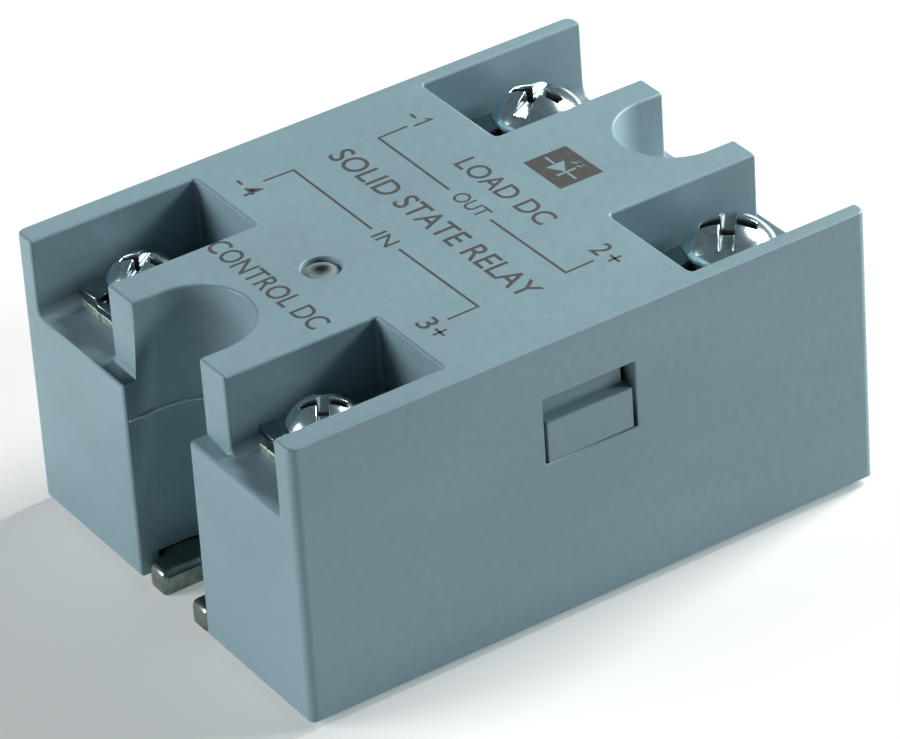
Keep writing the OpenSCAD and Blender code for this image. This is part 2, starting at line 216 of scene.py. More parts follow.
class Finish:
    """A node material: node() adds any node, and shade() sets the Principled shader's sockets."""

    def __init__(self, name):
        self.material = bpy.data.materials.new(name)
        self.material.use_nodes = True
        self.tree = self.material.node_tree
        self.shader = self.tree.nodes["Principled BSDF"]
        place_node = self.tree.nodes.new("ShaderNodeTexCoord")
        self.place = Wire(self, place_node.outputs["Object"])

    def node(self, kind, settings=None, values=None, output=0):
        """Adds a node: its settings first, then its sockets' values or wires. Gives one output."""
        made = self.tree.nodes.new(kind)
        for key, value in (settings or {}).items():
            setattr(made, key, value)
        for key, value in (values or {}).items():
            self.plug(made.inputs[key], value)
        return Wire(self, made.outputs[output])

    def plug(self, socket, value):
        """Links a wire to a socket, or sets the socket's own value."""
        if isinstance(value, Wire):
            self.tree.links.new(value.socket, socket)
        elif isinstance(value, tuple) and socket.type == "RGBA":
            socket.default_value = (*value[:3], 1)
        else:
            socket.default_value = value

    def noise(self, size_mm, detail=2.0, stretch=(1, 1, 1), roughness=0.5, seed=0.0):
        """Noise from 0 to 1 whose blobs are about size_mm across, stretched along the axes."""
        at = self.place
        if stretch != (1, 1, 1) or seed:
            at = self.node("ShaderNodeMapping", {}, {"Vector": at, "Scale": stretch,
                                                     "Location": (seed, seed, seed)})
        return self.node("ShaderNodeTexNoise", {}, {"Vector": at, "Scale": 1 / (size_mm * MM),
                                                    "Detail": detail, "Roughness": roughness})

    def cells(self, size_mm, feature="F1", output="Distance"):
        """Distance to the nearest of scattered points that are about size_mm apart."""
        return self.node("ShaderNodeTexVoronoi", {"feature": feature},
                         {"Vector": self.place, "Scale": 1 / (size_mm * MM)}, output)

    def mix(self, share, first, second):
        """A colour that goes from first to second as share goes from 0 to 1."""
        made = self.tree.nodes.new("ShaderNodeMix")
        made.data_type = "RGBA"
        for index, value in ((0, share), (6, first), (7, second)):
            self.plug(made.inputs[index], value)
        return Wire(self, made.outputs[2])

    def bump(self, height, depth_mm, strength=1.0):
        """A surface normal bent by a height wire, where 1 stands depth_mm proud of 0."""
        return self.node("ShaderNodeBump", {}, {"Height": height, "Strength": strength,
                                                "Distance": depth_mm * MM})

    def shade(self, **values):
        """Sets Principled sockets by name, with underscores for spaces."""
        for key, value in values.items():
            self.plug(self.shader.inputs[key.replace("_", " ")], value)


print("a finish can", [name for name in vars(Finish) if not name.startswith("_")])

# %% [markdown]
# ## Moulded plastic
# The housing is glass-filled polyamide or ABS in a grey-blue, moulded against a spark-eroded tool.
# That gives a satin skin of tiny pits, a faint flow marbling as wide as a finger, and a few pale
# scuffs. All three are small, because the real faces look even from a step away. The carrier
# that shows in the snap window is the same plastic from another batch, a little darker.

# %% Plastic finishes
PLASTIC = (0.206, 0.315, 0.363)


def shaded(colour, share, lift=0.0):
    """Each part of a colour times a share, plus a lift, and never over 1."""
    return tuple(min(1.0, share * c + lift) for c in colour)


def moulded_plastic(name, colour, rough=0.43, grain_mm=0.16):
    """Satin moulded plastic: base colour times a slow and a fine variation, with a pitted bump."""
    finish = Finish(name)
    flow = finish.noise(14, 3, (1, 0.55, 1.4))
    speck = finish.noise(0.9, 2)
    dark, light, pale = shaded(colour, 0.93), shaded(colour, 1.07), shaded(colour, 0.75, 0.16)
    tint = finish.mix(flow.step(0.3, 0.7) * 0.7 + speck.step(0.35, 0.65) * 0.3, dark, light)
    scuff = finish.noise(2.2, 4, (1, 4, 1), 0.65, 3.1).step(0.66, 0.80)
    pits = finish.noise(grain_mm, 2, roughness=0.6)
    waves = finish.noise(5, 1)
    finish.shade(
        Base_Color=finish.mix(scuff * 0.22, tint, pale),
        Roughness=rough + (speck - 0.5) * 0.10 - scuff * 0.06,
        Specular_IOR_Level=0.42,
        Normal=finish.bump(pits * 0.5 + waves * 0.5, 0.018, 0.55),
    )
    return finish.material


housing_plastic = moulded_plastic("satin_grey_blue_plastic", PLASTIC)
carrier_plastic = moulded_plastic("carrier_plastic", shaded(PLASTIC, 0.96), 0.48)
print("plastics:", housing_plastic.name, carrier_plastic.name)

# %% [markdown]
# ## Metals
# The base plate is plated steel or copper that has dulled to a dark grey-green. The bars are tinned
# copper: pale, blotched with dull green-grey, and rough as cast solder. The clamp plates and
# washers are plated steel, darker and smoother. The screws are bright blue-white zinc, but the
# recess that a driver grips is dull, and painted shade darkens its floor and its cross arm. A
# metal's colour is its reflection, so each finish varies roughness and tint together, and lets a
# bump break the mirror image.

# %% Metal finishes
# The colour of the painted shade that darkens the recess of a screw's head.
RECESS_SHADE_COLOUR = (0.03, 0.04, 0.04)


def plated_metal(name, colour, rough, blotch, size_mm, depth_mm, stain=None, metallic=1.0, recess_shade=None):
    """Plated metal: tint and roughness follow one blotchy noise, and a fine noise dents the normal.

    The last argument is a function that gives the share of the plating that painted shade darkens.
    """
    finish = Finish(name)
    patches = finish.noise(size_mm, 4, roughness=0.6)
    fine = finish.noise(size_mm * 0.22, 3, roughness=0.6, seed=1.7)
    low, high = stain or shaded(colour, 1 - 1.6 * blotch), shaded(colour, 1 + blotch)
    tint, shade_share = finish.mix(patches.step(0.32, 0.66), low, high), 0.0
    # Where it is given, painted shade darkens the tint towards that colour and roughens it.
    if recess_shade:
        shade_share = recess_shade(finish)
        tint = finish.mix(shade_share, tint, RECESS_SHADE_COLOUR)
    finish.shade(
        Base_Color=tint,
        Metallic=metallic,
        Roughness=rough + (0.5 - patches) * (1.2 * blotch) + fine * (0.3 * rough) + shade_share * 0.3,
        Normal=finish.bump(fine * 0.6 + patches * 0.4, depth_mm, 0.6),
    )
    return finish.material


plate_metal = plated_metal("dulled_plate_metal", (0.21, 0.25, 0.235), 0.22, 0.20, 1.6, 0.010)
tinned_metal = plated_metal("tinned_copper", (0.52, 0.60, 0.55), 0.42, 0.24, 0.55, 0.07, metallic=0.9,
                            stain=(0.19, 0.24, 0.22))
clamp_metal = plated_metal("clamp_steel", (0.20, 0.25, 0.28), 0.16, 0.12, 1.5, 0.006)
washer_metal = plated_metal("washer_steel", (0.16, 0.18, 0.19), 0.28, 0.15, 0.8, 0.008)
nut_metal = plated_metal("nut_steel", (0.62, 0.62, 0.60), 0.34, 0.15, 0.8, 0.01)
lead_metal = plated_metal("tinned_lead", (0.70, 0.70, 0.67), 0.30, 0.10, 0.5, 0.005)
copper_metal = plated_metal("bonded_copper", (0.80, 0.42, 0.26), 0.34, 0.14, 1.5, 0.008,
                            stain=(0.55, 0.24, 0.14))
print("metals:", [m.name for m in (plate_metal, tinned_metal, clamp_metal, washer_metal, nut_metal)])

# %% Screw plating
# How strongly painted shade darkens a screw's recess: everywhere in it, more in the cross arm and on the
# floor, and from which depth below the dome.
SHADE_ANYWHERE, SHADE_IN_ARM, SHADE_ON_FLOOR = 0.45, 0.5, 0.5
SHADE_DEPTH, SHADE_WANDER = (0.12, 0.4), 0.15
SHADE_FLOOR, SHADE_RIM = (1.35, 1.65), 0.1
SHADE_PAST_SLOT = (-0.02, 0.12)


def screw_plating(name, ball_centre, ball, rim_z, turn_deg, slot_half):
    """Bright plating that is dull in the recess of a domed head, where painted shade darkens it, most in
    its cross arm and on its floor.

    The depth below the dome is the ball's radius less the distance to its centre, and only what
    lies above the rim counts. The cross arm is what lies further from the slot's middle line than
    half the slot's width, and the floor is what lies far below the crown.
    """
    spin = math.radians(turn_deg)
    across = (-math.sin(spin), math.cos(spin), 0.0)
    middle = across[0] * ball_centre[0] + across[1] * ball_centre[1]

    def recess_shade(finish):
        """The share of painted shade in the recess, with the places turned from metres to millimetres."""
        away = finish.node("ShaderNodeVectorMath", {"operation": "DISTANCE"},
                           {0: finish.place, 1: tuple(MM * c for c in ball_centre)}, 1)
        height = finish.node("ShaderNodeSeparateXYZ", {}, {"Vector": finish.place}, 2) * (1 / MM)
        dot = finish.node("ShaderNodeVectorMath", {"operation": "DOT_PRODUCT"},
                          {0: finish.place, 1: across}, 1)
        offset = dot * (1 / MM) - middle
        arm = offset.maths("ABSOLUTE", offset).step(*(slot_half + past for past in SHADE_PAST_SLOT))
        floor = (ball_centre[2] + ball - height).step(*SHADE_FLOOR)
        depth = (ball * MM - away) * (1 / MM) + (finish.noise(0.5, 3) - 0.5) * SHADE_WANDER
        above_rim = height.step(rim_z - SHADE_RIM, rim_z + SHADE_RIM)
        share = SHADE_ANYWHERE + arm * SHADE_IN_ARM + floor * SHADE_ON_FLOOR
        return share * depth.step(*SHADE_DEPTH) * above_rim

    return plated_metal(name, (0.60, 0.75, 0.79), 0.15, 0.12, 0.9, 0.014, recess_shade=recess_shade)


# The print gives the depth below the dome where the painted shade in a screw's recess begins.
print("grease from", SHADE_DEPTH[0], "mm below the dome of a screw's head")

# %% [markdown]
# ## Inside finishes
# The sealed inside is rarely seen, but a part from a library may be opened or cut. The tile is fired
# alumina with a faint grain, the gel is dark with a wet skin, the board is green resist over woven
# glass, and the packages are matt moulded resin with a fine tooth.

# %% Inside finishes
def matt_resin(name, colour, rough=0.55, grain_mm=0.12, depth_mm=0.012, spread=0.12, coat=0.0):
    """Moulded resin, ceramic or paint: a fine tooth, a slow tint and an optional clear coat."""
    finish = Finish(name)
    tooth = finish.noise(grain_mm, 3, roughness=0.65)
    slow = finish.noise(3.5, 2)
    low, high = shaded(colour, 1 - spread), shaded(colour, 1 + spread)
    finish.shade(
        Base_Color=finish.mix(slow.step(0.3, 0.7) * 0.6 + tooth * 0.4, low, high),
        Roughness=rough + (tooth - 0.5) * 0.12,
        Coat_Weight=coat,
        Normal=finish.bump(tooth, depth_mm, 0.5),
    )
    return finish.material


WEAVE_MM = 1.57


def board_finish():
    """Green resist whose height follows the glass weave, which is two crossed waves.

    The wave node runs through 20 radians a unit, so its scale is a full turn over 20 wavelengths.
    """
    finish = Finish("green_resist_board")
    waves = [finish.node("ShaderNodeTexWave", {"wave_type": "BANDS", "bands_direction": axis},
                         {"Vector": finish.place, "Scale": 2 * math.pi / (20 * WEAVE_MM * MM),
                          "Distortion": 0.6}, 1)
             for axis in ("X", "Y")]
    weave = waves[0] * 0.5 + waves[1] * 0.5
    traces = finish.cells(3.2, "DISTANCE_TO_EDGE").step(0.06, 0.09)
    green = finish.mix(traces, (0.05, 0.27, 0.10), (0.015, 0.13, 0.05))
    finish.shade(Base_Color=finish.mix(weave * 0.35, green, (0.10, 0.30, 0.14)),
                 Roughness=0.32 + weave * 0.10, Coat_Weight=0.3,
                 Normal=finish.bump(weave * 0.4 + (1 - traces) * 0.6, 0.03, 0.6))
    return finish.material


INSIDE = {
    "insulating_tile": matt_resin("alumina_tile", (0.86, 0.86, 0.82), 0.48, 0.08, 0.006, 0.05),
    "copper_pads": copper_metal,
    "potting": matt_resin("potting_gel", (0.035, 0.036, 0.040), 0.22, 1.1, 0.03, 0.2, 0.6),
    "circuit_board": board_finish(),
    "optocoupler": matt_resin("white_package", (0.80, 0.80, 0.75), 0.5),
    "smoothing_capacitor": matt_resin("capacitor_sleeve", (0.03, 0.05, 0.16), 0.30, 0.5, 0.01, 0.1,
                                      0.4),
    "input_resistors": matt_resin("resistor_body", (0.22, 0.42, 0.55), 0.35, 0.3, 0.02, 0.1, 0.5),
}
black_package = matt_resin("black_package", (0.022, 0.022, 0.024), 0.5, 0.1, 0.015, 0.2)
for node in ("power_transistor_1", "power_transistor_2", "clamp_diode", "driver_chip", "input_diode"):
    INSIDE[node] = black_package
INSIDE["indicator_leads"] = lead_metal
for n in TERMINALS:
    INSIDE[f"terminal_nut_{n}"] = nut_metal


def repaint(node, material):
    """Gives a CAD node one finish in place of its own. The mesh stays as it is."""
    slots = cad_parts[node].material_slots
    if not slots:
        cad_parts[node].data.materials.append(material)
    for entry in slots:
        entry.link = "OBJECT"
        entry.material = material


for node, material in INSIDE.items():
    repaint(node, material)
print("repainted", len(INSIDE), "inner nodes")

# %% [markdown]
# ## Making pieces
# Two ways make nearly every piece. A flat-sided moulding or stamping starts from a copy of its CAD
# node: the loose triangles are joined, flat areas become single faces, and every sharp edge gets
# its own radius, because light catches an edge and tells plastic from metal. A turned piece is a
# grid of points worked out with numpy. Either way the piece rides on its body by name.

# %% Pieces from grids
def add_piece(name, points_mm, faces, body, material, replaced=()):
    """A mesh object at the origin, with its place in its points, that rides on a body."""
    mesh = bpy.data.meshes.new(name)
    mesh.from_pydata((np.asarray(points_mm, float) * MM).tolist(), [], [list(f) for f in faces])
    return finish_piece(name, mesh, body, material, replaced)


def finish_piece(name, mesh, body, material, replaced=()):
    """Smooth shading, one material, a body to ride on, and the CAD nodes that it stands for."""
    mesh.polygons.foreach_set("use_smooth", np.ones(len(mesh.polygons), bool))
    mesh.materials.clear()
    mesh.materials.append(material)
    piece = bpy.data.objects.new(name, mesh)
    bpy.context.scene.collection.objects.link(piece)
    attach(piece, body)
    if replaced:
        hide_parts(*replaced)
    return piece


def grid_faces(rows, columns, closed=False):
    """Quads between neighbouring points of a grid; closed joins the last column to the first."""
    across = columns if closed else columns - 1
    r, c = np.meshgrid(np.arange(rows - 1), np.arange(across), indexing="ij")
    here, right = r * columns + c, r * columns + (c + 1) % columns
    return np.stack([here, right, right + columns, here + columns], -1).reshape(-1, 4)


def weld(mesh, gap_mm=1e-4):
    """Joins points that lie on each other, then turns every face of the closed shape outwards."""
    work = bmesh.new()
    work.from_mesh(mesh)
    bmesh.ops.remove_doubles(work, verts=work.verts, dist=gap_mm * MM)
    bmesh.ops.dissolve_degenerate(work, edges=work.edges, dist=1e-9)
    bmesh.ops.recalc_face_normals(work, faces=work.faces)
    work.to_mesh(mesh)
    work.free()
    mesh.update()


def keep_flat(piece):
    """Weighted normals: big faces stay flat to the eye and the small ones between them turn."""
    even = piece.modifiers.new("even_normals", "WEIGHTED_NORMAL")
    even.mode = "FACE_AREA"
    even.weight = 80
    even.keep_sharp = True


print("3 by 4 points make", len(grid_faces(3, 4)), "faces, or", len(grid_faces(3, 4, True)), "when closed")

# %% Pieces from merged copies
MERGE_GAP, FLAT_BEND = 0.002, 0.6


def merged_copy(node, name):
    """A new mesh from a CAD node's loose triangles, joined, with flat areas as single faces."""
    work = bmesh.new()
    work.from_mesh(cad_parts[node].data)
    bmesh.ops.remove_doubles(work, verts=work.verts, dist=MERGE_GAP * MM)
    bmesh.ops.dissolve_limit(work, angle_limit=math.radians(FLAT_BEND), verts=work.verts,
                             edges=work.edges, use_dissolve_boundaries=False)
    work.verts.index_update()
    mesh = bpy.data.meshes.new(name)
    mesh.from_pydata([v.co[:] for v in work.verts], [], [[v.index for v in f.verts] for f in work.faces])
    work.free()
    mesh.update()
    return mesh


def read(collection, field, width, kind=float):
    """One field of a mesh collection as an array."""
    values = np.zeros(len(collection) * width, kind)
    collection.foreach_get(field, values)
    return values.reshape(-1, width) if width > 1 else values


print("the housing's CAD mesh has", len(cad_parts["housing"].data.vertices), "loose points")


# %% Rounded edges
def edge_facts(mesh):
    """For each edge: its middle in mm, its direction, its bend in degrees, and whether it is convex.

    The bend is the angle between the normals of the two faces beside it. With d the way the first
    face runs along the edge and n its normal, n times d points into that face, and the edge is
    convex if the other face's normal leans away from there.
    """
    points = read(mesh.vertices, "co", 3) / MM
    ends = read(mesh.edges, "vertices", 2, np.int32)
    start, total = (read(mesh.polygons, f, 1, np.int32) for f in ("loop_start", "loop_total"))
    normals = read(mesh.polygons, "normal", 3)
    loop_edge, loop_point = (read(mesh.loops, f, 1, np.int32) for f in ("edge_index", "vertex_index"))
    loop_face = np.repeat(np.arange(len(total)), total)
    following = np.arange(len(loop_edge)) + 1
    following[start + total - 1] = start
    order = np.argsort(loop_edge, kind="stable")
    count = np.bincount(loop_edge, minlength=len(ends))
    first = np.concatenate([[0], np.cumsum(count)[:-1]])
    loop_a, loop_b = order[first], order[np.minimum(first + count - 1, len(order) - 1)]
    face_a, face_b = loop_face[loop_a], loop_face[loop_b]
    along = points[loop_point[following[loop_a]]] - points[loop_point[loop_a]]
    along /= np.maximum(np.linalg.norm(along, axis=1, keepdims=True), 1e-9)
    inward = np.cross(normals[face_a], along)
    bend = np.degrees(np.arccos(np.clip((normals[face_a] * normals[face_b]).sum(1), -1, 1)))
    bend[count != 2] = 0
    return points[ends].mean(1), np.abs(along), bend, (normals[face_b] * inward).sum(1) < 0


def round_edges(piece, radii_mm, segments=3, sharp_bend=25):
    """Rounds each edge by its own radius in mm: radii_mm is one number or one for each edge."""
    mesh = piece.data
    bend = edge_facts(mesh)[2]
    radii = np.where(bend > sharp_bend, radii_mm, 0.0) * np.ones(len(bend))
    widest = float(radii.max())
    weights = mesh.attributes.new("bevel_weight_edge", "FLOAT", "EDGE")
    weights.data.foreach_set("value", (radii / widest).astype(np.float32))
    mesh.edges.foreach_set("use_edge_sharp", (bend > sharp_bend) & (radii == 0))
    bevel = piece.modifiers.new("rounded_edges", "BEVEL")
    bevel.limit_method = "WEIGHT"
    bevel.width = widest * MM
    bevel.segments = segments
    bevel.use_clamp_overlap = False
    bevel.miter_outer = "MITER_ARC"
    bevel.face_strength_mode = "FSTR_NONE"
    keep_flat(piece)
    return int((radii > 0).sum())


print("the base plate has", len(edge_facts(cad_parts["base_plate"].data)[2]), "loose CAD edges")

# %% [markdown]
# ## The housing
# One moulding: a block with a deck at each end, a tongue between each pair of terminals, and a U
# through each tongue for the mounting screw. It keeps the CAD's exact faces. What the CAD leaves
# out is added here: a draft of a fifth of a millimetre on the end walls, so that the moulding leaves
# its tool, and a hair's breadth off the top, where the marking stands. The outer corners and the
# long top edges get generous radii, the feet of the tongues and side walls get soft fillets, and
# the other edges small ones. Hidden edges inside stay sharp.

# %% Housing shell
OUTER_CORNER_R, TOP_EDGE_R, SMALL_R, WINDOW_R, WINDOW_FOOT_R = 0.8, 0.9, 0.3, 0.12, 0.2
LENS_RIM_R, FOOT_R, POCKET_R = 0.16, {1: 1.2, -1: 0.95}, 0.3
WINDOW_HALF_L, WINDOW_LOW, WINDOW_MIDDLE, WINDOW_HIGH = 6.0, 12.0, 17.0, top_z - 2
LENS_REACH, U_REACH = 3.0, 6.5
DRAFT, MARK_ROOM = 0.21, 0.015
NEAR = 0.06


def near(values, target):
    """True where a coordinate lies on a plane."""
    return np.abs(values - target) < NEAR


def housing_radii(mesh):
    """A radius for every edge of the housing, from where the edge lies."""
    middle, along, bend, convex = edge_facts(mesh)
    x, y, z = np.abs(middle[:, 0]), np.abs(middle[:, 1]), middle[:, 2]
    end = np.where(middle[:, 1] > 0, 1, -1)
    lengthways, upright = along[:, 1] > 0.95, along[:, 2] > 0.95
    tongue, back_wall, side_wall, foot_r = (
        np.where(end > 0, table[1], table[-1]) for table in (TONGUE, BACK_WALL, SIDE_WALL, FOOT_R))
    on_side, on_end, on_top = near(x, half_w), near(y, half_l), near(z, top_z)
    on_deck, on_bottom = near(z, deck_z), near(z, bottom_z)
    radii = np.zeros(len(x))
    radii[(on_side | on_end | on_top | on_bottom) & convex] = SMALL_R
    radii[near(y, half_l - LEDGE) & (z > deck_z - NEAR)] = SMALL_R
    inner_wall = near(x, half_w - side_wall) | near(x, tongue)
    radii[inner_wall & upright & near(y, back_wall) & (z > deck_z)] = POCKET_R
    radii[inner_wall & lengthways & on_deck] = foot_r[inner_wall & lengthways & on_deck]
    radii[on_side & on_end & upright] = OUTER_CORNER_R
    radii[on_side & on_top & lengthways] = TOP_EDGE_R
    window = on_side & (y < WINDOW_HALF_L) & (z > WINDOW_LOW) & (z < WINDOW_HIGH)
    radii[window] = WINDOW_R
    radii[window & (z < WINDOW_MIDDLE) & lengthways] = WINDOW_FOOT_R
    around_lens = np.hypot(middle[:, 0] - lens_x, middle[:, 1] - lens_y) < LENS_REACH
    radii[around_lens & on_top] = LENS_RIM_R
    inside = ~on_side & ~on_end
    radii[(z < deck_z - NEAR) & inside & ~on_bottom] = 0
    radii[on_bottom & inside & (np.hypot(x, y - U_CENTRE) > U_REACH)] = 0
    return radii


shell_mesh = merged_copy("housing", "housing_shell")
shell = finish_piece("housing_shell", shell_mesh, "relay_body", housing_plastic,
                     ("housing",))
rounded = round_edges(shell, housing_radii(shell_mesh), 4)
shell_points = read(shell_mesh.vertices, "co", 3)
at_end = near(np.abs(shell_points[:, 1]) / MM, half_l)
at_top = near(shell_points[:, 2] / MM, top_z)
rise = (shell_points[:, 2] / MM - bottom_z) / (top_z - bottom_z)
shell_points[:, 1] -= at_end * np.sign(shell_points[:, 1]) * DRAFT * MM * rise
shell_points[:, 2] -= at_top * MARK_ROOM * MM
shell_mesh.vertices.foreach_set("co", shell_points.ravel())
shell_mesh.update()
print("housing:", len(shell_mesh.polygons), "faces,", rounded, "rounded edges")

# %% [markdown]
# ## The parting line
# The U through each tongue is shaped by two halves of the tool that meet at mid height. A little
# plastic creeps between them and leaves a slightly wavy ridge round the wall of the U. Its pale
# colour is partly the thin plastic's own and partly a painted highlight for the light that catches
# the ridge. It is a blunt wedge carried along the U's plan, with a height that wanders.

# %% Parting-line flash
FLASH_Z, FLASH_H, FLASH_OUT = 16.87, 0.48, 0.22
FLASH_INSET, FLASH_MOUTH, FLASH_ROOT = 0.02, 0.5, -0.1
FLASH_JITTER, FLASH_WANDER, FLASH_SEED = 0.35, 0.25, 40
FLASH_STEPS, FLASH_TURN_STEPS = 21, 60
# Pale plastic for the flash: partly its own colour, partly a painted highlight on the ridge.
flash_plastic_and_highlight = moulded_plastic("thin_flash_plastic", (0.50, 0.58, 0.61), 0.4)


def wandering(random, count, width):
    """Seeded noise: each value is the mean of a run of width random numbers."""
    return np.convolve(random.standard_normal(count + width - 1), np.ones(width) / width, "valid")


def flash_ridge(name, end, seed):
    """A wavy ridge round one U: a blunt wedge at each of the steps along a U-shaped path.

    The path runs straight in, round a half circle, and straight out. The ridge's foot is a little
    inside the wall, and its tip stands out towards the middle by an amount that wanders.
    """
    radius = U_RADIUS[end] + FLASH_INSET
    straight = np.linspace(half_l - FLASH_MOUTH, U_CENTRE, FLASH_STEPS + 1)[:-1]
    turn = np.linspace(0, math.pi, FLASH_TURN_STEPS)
    plan = np.concatenate([
        np.stack([np.full(FLASH_STEPS, radius), straight], -1),
        np.stack([radius * np.cos(turn), U_CENTRE - radius * np.sin(turn)], -1),
        np.stack([np.full(FLASH_STEPS, -radius), straight[::-1]], -1)])
    towards = np.stack([-plan[:, 0], U_CENTRE - np.minimum(plan[:, 1], U_CENTRE)], -1)
    towards /= np.maximum(np.linalg.norm(towards, axis=1, keepdims=True), 1e-9)
    random = np.random.default_rng(seed)
    wander, jitter = wandering(random, len(plan), 11), wandering(random, len(plan), 3)
    tip = FLASH_OUT * (1 + FLASH_JITTER * jitter).clip(0.3, 2)
    middle_z = FLASH_Z + FLASH_WANDER * wander
    rings = []
    for out, high in ((FLASH_ROOT, 0.5), (tip, 0.12), (tip, -0.12), (FLASH_ROOT, -0.5)):
        spot = plan + towards * np.reshape(out * np.ones(len(plan)), (-1, 1))
        rings.append(np.column_stack([spot[:, 0], end * spot[:, 1], middle_z + FLASH_H * high]))
    points = np.stack(rings, 1).reshape(-1, 3)
    faces = grid_faces(len(plan), 4, closed=True).tolist()
    faces += [[0, 1, 2, 3], [len(points) - k for k in (1, 2, 3, 4)]]
    piece = add_piece(name, points, faces, "relay_body", flash_plastic_and_highlight)
    weld(piece.data)
    return piece


for end, name in ((-1, "flash_input"), (1, "flash_output")):
    ridge = flash_ridge(name, end, FLASH_SEED + end)
    print(ridge.name, len(ridge.data.polygons), "faces")

# %% [markdown]
# ## Carrier and base plate
# The carrier's snap arms fill the windows. A flat-topped barb latches low in each window, and a pad
# that stands further in fills part of the depth above it. The base plate is sheared from thick
# sheet: shearing rolls the upper edge over, so its edges are broad and bright. Both are merged
# copies with rounded edges.

# %% Carrier and base plate
ARM_HALF_L, ARM_X, ARM_Z, ARM_R = 5.1, 20.0, 16.7, 0.1
PLATE_MIDDLE_Z, PLATE_CORNER_R, PLATE_TOP_R, PLATE_FOOT_R = 1.5, 0.6, 0.75, 0.3

carrier = finish_piece("snap_carrier", merged_copy("base_carrier", "snap_carrier"), "relay_body",
                       carrier_plastic, ("base_carrier",))
middle, _, _, convex = edge_facts(carrier.data)
arms = (np.abs(middle[:, 1]) < ARM_HALF_L) & (np.abs(middle[:, 0]) > ARM_X) & (middle[:, 2] > ARM_Z)
print("carrier:", round_edges(carrier, np.where(arms & convex, ARM_R, 0.0), 2), "rounded edges")

plate = finish_piece("mounting_plate", merged_copy("base_plate", "mounting_plate"), "relay_body",
                     plate_metal, ("base_plate",))
middle, along = edge_facts(plate.data)[:2]
level_radii = np.where(middle[:, 2] > PLATE_MIDDLE_Z, PLATE_TOP_R, PLATE_FOOT_R)
plate_radii = np.where(along[:, 2] > 0.9, PLATE_CORNER_R, level_radii)
print("plate:", round_edges(plate, plate_radii, 5), "rounded edges")

# %% [markdown]
# ## Bars and clamp plates
# The bars are sheared strip, bent down inside the housing, and tinned in a bath that leaves soft
# edges. The clamp plates are stamped with a shallow channel, and their crisp folds give the thin
# bright lines beside each screw.

# %% Bars and clamp plates
BAR_R, CLAMP_RIM_R, CLAMP_FOLD_R = 0.12, 0.16, 0.08
RIM_BEND = 60

for n in TERMINALS:
    bar = finish_piece(f"tinned_bar_{n}", merged_copy(f"terminal_bar_{n}", f"tinned_bar_{n}"),
                       "relay_body", tinned_metal, (f"terminal_bar_{n}",))
    round_edges(bar, BAR_R, 2, 40)
    clamp = finish_piece(f"clamp_{n}_plate", merged_copy(f"clamp_plate_{n}", f"clamp_{n}_plate"),
                         f"clamp_{n}", clamp_metal, (f"clamp_plate_{n}",))
    bend = edge_facts(clamp.data)[2]
    count = round_edges(clamp, np.where(bend > RIM_BEND, CLAMP_RIM_R, CLAMP_FOLD_R), 3, 20)
print("bars and clamp plates made,", count, "rounded edges on the last")

# %% [markdown]
# ## Spring washers
# A split spring washer is a square-section wire wound into one turn and cut. Under a tightened head
# it is pressed almost flat, and only a small step is left at the split. It is a rounded square
# carried round most of a circle while it climbs a little.

# %% Spring washers
WASHER_SPLIT, WASHER_GAP, WASHER_STEPS = 35.0, 10.0, 97
WASHER_WIDTH, WASHER_R, WASHER_STEP = 1.4, 0.12, 0.10


def rounded_box_profile(width, height, radius, steps=4):
    """Points round a rectangle that starts at the origin and has quarter circles for corners."""
    turn = np.linspace(0, math.pi / 2, steps)
    corner = radius * np.stack([np.cos(turn), np.sin(turn)], -1)
    points = []
    for quarter, (cx, cz) in enumerate(((1, 1), (0, 1), (0, 0), (1, 0))):
        c, s = math.cos(quarter * math.pi / 2), math.sin(quarter * math.pi / 2)
        middle = np.array([radius + cx * (width - 2 * radius), radius + cz * (height - 2 * radius)])
        points.append(middle + corner @ np.array([[c, s], [-s, c]]))
    return np.concatenate(points)


for n in TERMINALS:
    low, high = box_mm(f"lock_washer_{n}")
    centre, outer = (low + high)[:2] / 2, (high - low)[0] / 2
    profile = rounded_box_profile(WASHER_WIDTH, high[2] - low[2] - WASHER_STEP, WASHER_R)
    first = WASHER_SPLIT + WASHER_GAP / 2
    turn = np.radians(np.linspace(first, first + 360 - WASHER_GAP, WASHER_STEPS))
    radius = outer - WASHER_WIDTH + profile[:, 0]
    climb = WASHER_STEP * np.linspace(0, 1, len(turn))
    ring = np.stack([centre[0] + np.outer(np.cos(turn), radius),
                     centre[1] + np.outer(np.sin(turn), radius),
                     low[2] + climb[:, None] + profile[None, :, 1]], -1)
    faces = grid_faces(len(turn), len(profile), closed=True).tolist()
    last = len(turn) * len(profile)
    faces += [list(range(len(profile))), list(range(last - len(profile), last))]
    washer = add_piece(f"spring_washer_{n}", ring.reshape(-1, 3), faces, f"clamp_{n}",
                       washer_metal, (f"lock_washer_{n}",))
    weld(washer.data)
    keep_flat(washer)
print("washers of", len(washer.data.polygons), "faces each")

# %% [markdown]
# ## Terminal screws
# Each screw has a domed head with a full slot and a shorter, deeper cross arm, so either driver
# fits. The recess is struck into the blank, which leaves soft upper edges and steep walls. The top
# is one grid: lines of constant b run straight along the slot, and lines of constant a narrow
# towards the rim, as a driver's wing does. Extra grid lines crowd where the walls are. The shank
# below is a ring of points whose radius follows a right-hand thread.

# %% The recess in a screw's head
RIM_H, EDGE_R, WALL = 0.7, 0.16, 0.07
SLOT_W, SLOT_DEEP, ARM_W, ARM_DEEP, ARM_L = 0.33, 1.30, 0.30, 1.75, 0.60


def ball_radius(radius, rise):
    """Radius of the ball through a rim circle and a crown: (radius^2 + rise^2) / (2 rise)."""
    return (radius**2 + rise**2) / (2 * rise)


